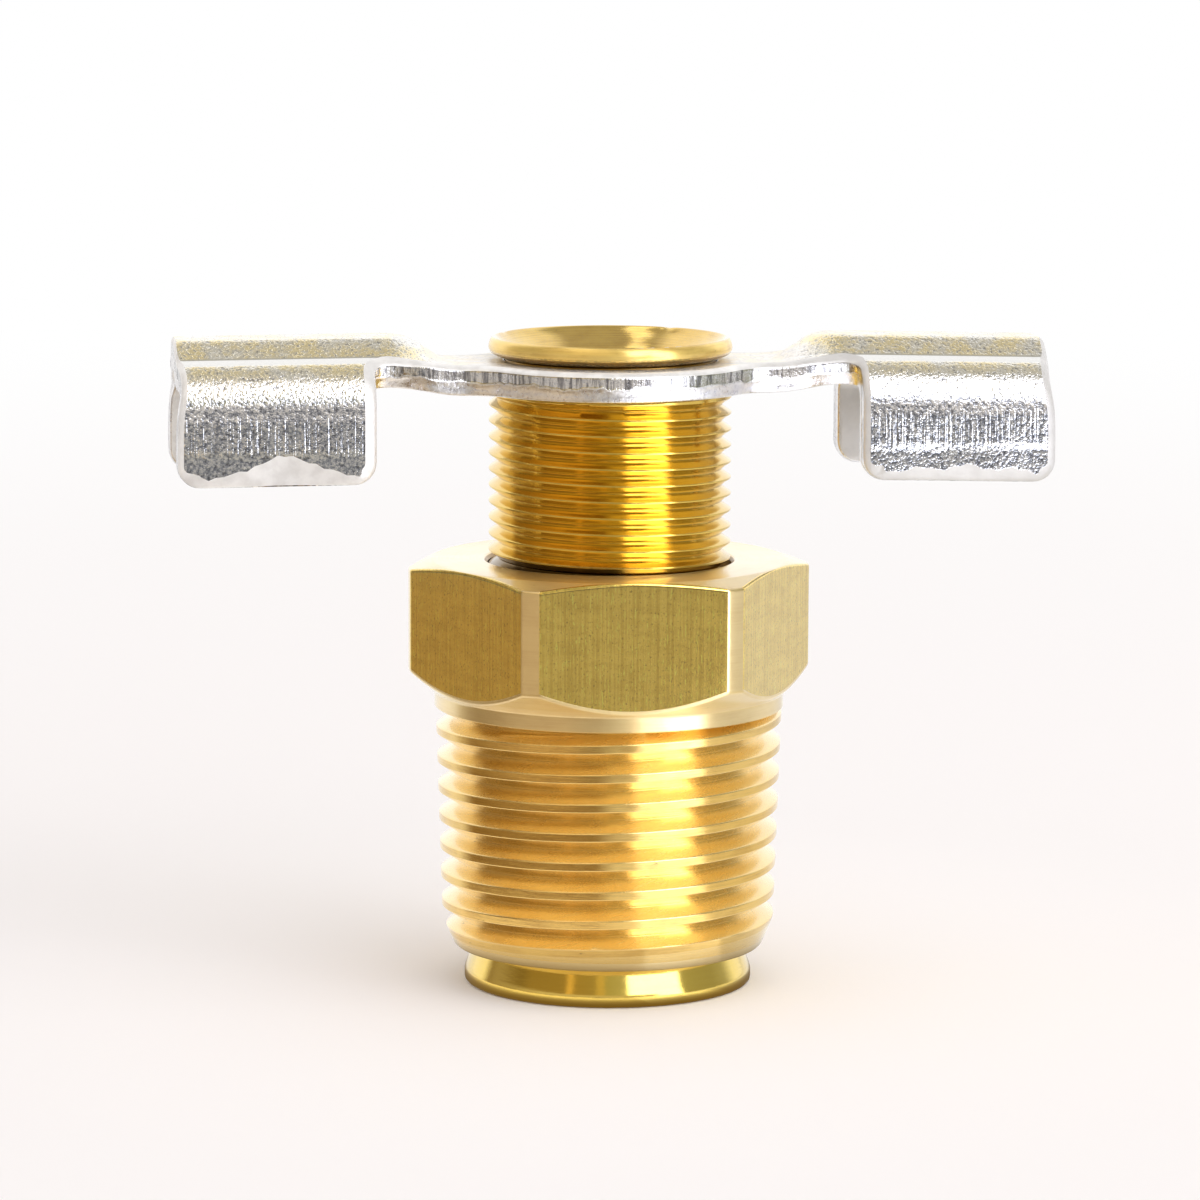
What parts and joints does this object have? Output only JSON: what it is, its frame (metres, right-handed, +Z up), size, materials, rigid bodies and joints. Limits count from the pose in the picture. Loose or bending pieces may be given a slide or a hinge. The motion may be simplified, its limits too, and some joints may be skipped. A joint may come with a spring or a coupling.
{
  "type": "drain cock",
  "caption": "Brass drain cock: hexagonal body with a tapered male pipe thread, hollow screw stem with a cone plug, and a stamped steel wing handle that opens the outlet through the stem.",
  "frame": {"origin": "centre of the plug's flat base, on the valve's axis", "axes": "+Z up the valve's axis towards the outlet, +X along the handle's wings"},
  "size_m": [0.054, 0.0222, 0.0404],
  "materials": {
    "body_brass": "turned, satin, with draw lines on the hexagon",
    "stem_brass": "turned and polished at the cone",
    "handle_steel": "bright zinc plate, speckled"
  },
  "bodies": {
    "valve_body": {"valve_body": "body_brass"},
    "stem": {"stem": "stem_brass"},
    "handle": {"handle": "handle_steel"}
  },
  "joints": [
    {"name": "stem_lift", "type": "slide", "parent": "valve_body", "child": "stem", "axis": [0, 0, 1], "range_m": [-0.01, 0]},
    {"name": "handle_turn", "type": "hinge", "parent": "stem", "child": "handle", "pos_m": [0, 0, 0.038], "axis": [0, 0, 1], "range_deg": [0, 3600]}
  ],
  "couplings": [
    {"joint": "stem_lift", "follows": "handle_turn", "m_per_rad": -0.00015915}
  ]
}
